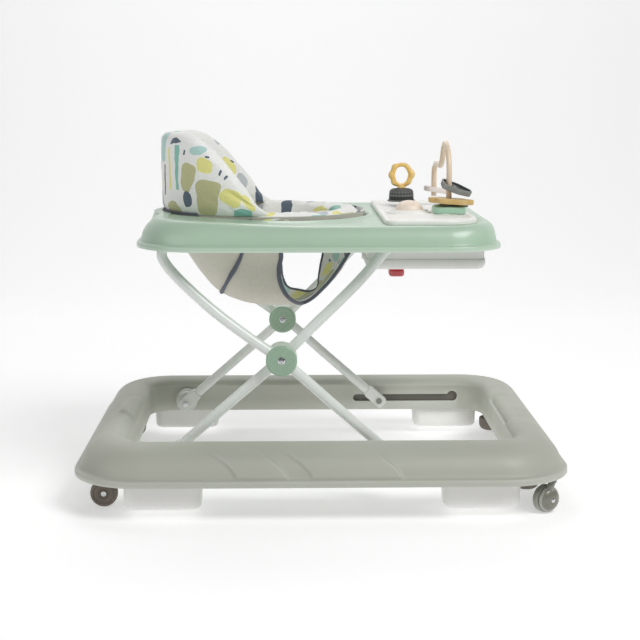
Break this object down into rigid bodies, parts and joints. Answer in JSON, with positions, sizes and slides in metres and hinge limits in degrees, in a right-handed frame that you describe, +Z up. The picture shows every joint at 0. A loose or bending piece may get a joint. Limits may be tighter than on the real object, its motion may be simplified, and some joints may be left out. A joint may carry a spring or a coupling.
{
  "type": "baby walker",
  "caption": "Folding baby walker: a moulded ring base on wheels, scissor tube legs, and an oval tray with a padded seat and a toy panel.",
  "frame": {"origin": "on the floor under the middle of the base ring", "axes": "+X the way the child faces, +Y to the child's left, +Z up"},
  "size_m": [0.712, 0.606, 0.53],
  "materials": {
    "base_plastic": "fine grain moulded, grey green",
    "block_plastic": "smooth white",
    "foot_rubber": "brown grey",
    "bracket_plastic": "smooth grey",
    "wheel_plastic": "smooth grey",
    "pin_steel": "polished",
    "tube_paint": "gloss off white",
    "fitting_plastic": "smooth off white",
    "hub_plastic": "smooth mint",
    "tray_plastic": "satin mint",
    "housing_plastic": "smooth white",
    "latch_plastic": "smooth red",
    "seat_print": "white cloth printed with coloured shapes",
    "sling_cloth": "woven beige",
    "panel_plastic": "smooth cream",
    "track_plastic": "smooth sand",
    "charcoal_plastic": "smooth charcoal",
    "yellow_plastic": "smooth yellow",
    "peach_plastic": "smooth peach",
    "mustard_plastic": "smooth mustard",
    "blush_plastic": "smooth blush"
  },
  "bodies": {
    "base": {"base_shell": "base_plastic", "stop_block_front_left": "block_plastic", "stop_block_front_right": "block_plastic", "stop_block_rear_left": "block_plastic", "stop_block_rear_right": "block_plastic", "front_stop_pad_left": "foot_rubber", "front_stop_pad_right": "foot_rubber", "rear_wheel_bracket_left": "bracket_plastic", "rear_wheel_bracket_right": "bracket_plastic", "rear_wheel_axle_left": "pin_steel", "rear_wheel_axle_right": "pin_steel", "rear_pivot_boss_left": "fitting_plastic", "rear_pivot_boss_right": "fitting_plastic", "rear_pivot_pin_left": "pin_steel", "rear_pivot_pin_right": "pin_steel"},
    "rear_wheel_l": {"rear_wheel_left": "foot_rubber"},
    "rear_wheel_r": {"rear_wheel_right": "foot_rubber"},
    "caster_l": {"caster_fork_left": "wheel_plastic", "caster_axle_left": "pin_steel"},
    "caster_r": {"caster_fork_right": "wheel_plastic", "caster_axle_right": "pin_steel"},
    "caster_wheel_l": {"caster_wheel_left": "wheel_plastic"},
    "caster_wheel_r": {"caster_wheel_right": "wheel_plastic"},
    "inner_legs": {"inner_leg_tube": "tube_paint", "inner_leg_foot_left": "fitting_plastic", "inner_leg_foot_right": "fitting_plastic", "pivot_hub_inner_left": "hub_plastic", "pivot_hub_inner_right": "hub_plastic", "pivot_screw_left": "pin_steel", "pivot_screw_right": "pin_steel"},
    "outer_legs": {"outer_leg_tube_left": "tube_paint", "outer_leg_tube_right": "tube_paint", "outer_leg_foot_left": "fitting_plastic", "outer_leg_foot_right": "fitting_plastic", "pivot_hub_outer_left": "hub_plastic", "pivot_hub_outer_right": "hub_plastic", "slot_slider_left": "bracket_plastic", "slot_slider_right": "bracket_plastic"},
    "tray": {"tray_shell": "tray_plastic", "tray_hinge_bracket_left": "bracket_plastic", "tray_hinge_bracket_right": "bracket_plastic", "tray_hinge_pin_left": "pin_steel", "tray_hinge_pin_right": "pin_steel", "height_housing": "housing_plastic", "notch_rack": "bracket_plastic", "backrest_pad": "seat_print", "seat_collar": "seat_print", "seat_bucket": "sling_cloth", "toy_panel": "panel_plastic", "bead_track": "track_plastic"},
    "shoe": {"crossbar_shoe": "bracket_plastic"},
    "latch": {"release_latch": "latch_plastic"},
    "knob": {"twist_knob": "charcoal_plastic", "teether_ring": "yellow_plastic"},
    "dome": {"dome_button": "peach_plastic"},
    "mint_bead": {"bead_mint": "hub_plastic"},
    "mustard_bead": {"bead_mustard": "mustard_plastic"},
    "charcoal_bead": {"bead_charcoal": "charcoal_plastic"},
    "blush_bead": {"bead_blush": "blush_plastic"}
  },
  "joints": [
    {"name": "rear_wheel_l_spin", "type": "hinge", "parent": "base", "child": "rear_wheel_l", "pos_m": [-0.314, 0.212, 0.02], "axis": [0, 1, 0], "continuous": true},
    {"name": "caster_l_swivel", "type": "hinge", "parent": "base", "child": "caster_l", "pos_m": [0.328, 0.246, 0.05], "axis": [0, 0, 1], "continuous": true},
    {"name": "caster_wheel_l_spin", "type": "hinge", "parent": "caster_l", "child": "caster_wheel_l", "pos_m": [0.31698, 0.25289, 0.02], "axis": [-0.5299, -0.848, 0], "continuous": true},
    {"name": "rear_wheel_r_spin", "type": "hinge", "parent": "base", "child": "rear_wheel_r", "pos_m": [-0.314, -0.212, 0.02], "axis": [0, 1, 0], "continuous": true},
    {"name": "caster_r_swivel", "type": "hinge", "parent": "base", "child": "caster_r", "pos_m": [0.328, -0.246, 0.05], "axis": [0, 0, 1], "continuous": true},
    {"name": "caster_wheel_r_spin", "type": "hinge", "parent": "caster_r", "child": "caster_wheel_r", "pos_m": [0.31698, -0.25289, 0.02], "axis": [0.5299, -0.848, 0], "continuous": true},
    {"name": "fold", "type": "hinge", "parent": "base", "child": "inner_legs", "pos_m": [-0.2225, 0, 0.066], "axis": [0, 1, 0], "range_deg": [-2, 34]},
    {"name": "cross", "type": "hinge", "parent": "inner_legs", "child": "outer_legs", "pos_m": [-0.0575, 0, 0.211], "axis": [0, 1, 0], "range_deg": [-68, 4]},
    {"name": "tray_tilt", "type": "hinge", "parent": "outer_legs", "child": "tray", "pos_m": [-0.2195, 0, 0.377], "axis": [0, 1, 0], "range_deg": [-2, 34]},
    {"name": "shoe_turn", "type": "hinge", "parent": "inner_legs", "child": "shoe", "pos_m": [0.1045, 0, 0.377], "axis": [0, 1, 0], "range_deg": [-34, 2]},
    {"name": "latch_pull", "type": "slide", "parent": "tray", "child": "latch", "axis": [-1, 0, 0], "range_m": [0, 0.008], "stiffness_N_per_m": 250, "springref_m": -0.004},
    {"name": "knob_twist", "type": "hinge", "parent": "tray", "child": "knob", "pos_m": [0.1335, 0.07, 0.428], "axis": [0, 0, 1], "continuous": true},
    {"name": "dome_press", "type": "slide", "parent": "tray", "child": "dome", "axis": [0, 0, -1], "range_m": [0, 0.004], "stiffness_N_per_m": 300, "springref_m": -0.004},
    {"name": "mint_bead_turn", "type": "hinge", "parent": "tray", "child": "mint_bead", "pos_m": [0.193, -0.08, 0.418], "axis": [0, 0, 1], "range_deg": [-15, 15]},
    {"name": "mustard_bead_turn", "type": "hinge", "parent": "tray", "child": "mustard_bead", "pos_m": [0.193, -0.08, 0.429], "axis": [0, 0, 1], "range_deg": [-15, 15]},
    {"name": "charcoal_bead_slide", "type": "slide", "parent": "tray", "child": "charcoal_bead", "axis": [0, 0, 1], "range_m": [0, 0.018]},
    {"name": "blush_bead_slide", "type": "slide", "parent": "tray", "child": "blush_bead", "axis": [0, 0, 1], "range_m": [0, 0.012]}
  ],
  "couplings": [
    {"joint": "cross", "follows": "fold", "ratio": -2},
    {"joint": "tray_tilt", "follows": "fold", "ratio": 1},
    {"joint": "shoe_turn", "follows": "fold", "ratio": -1}
  ]
}
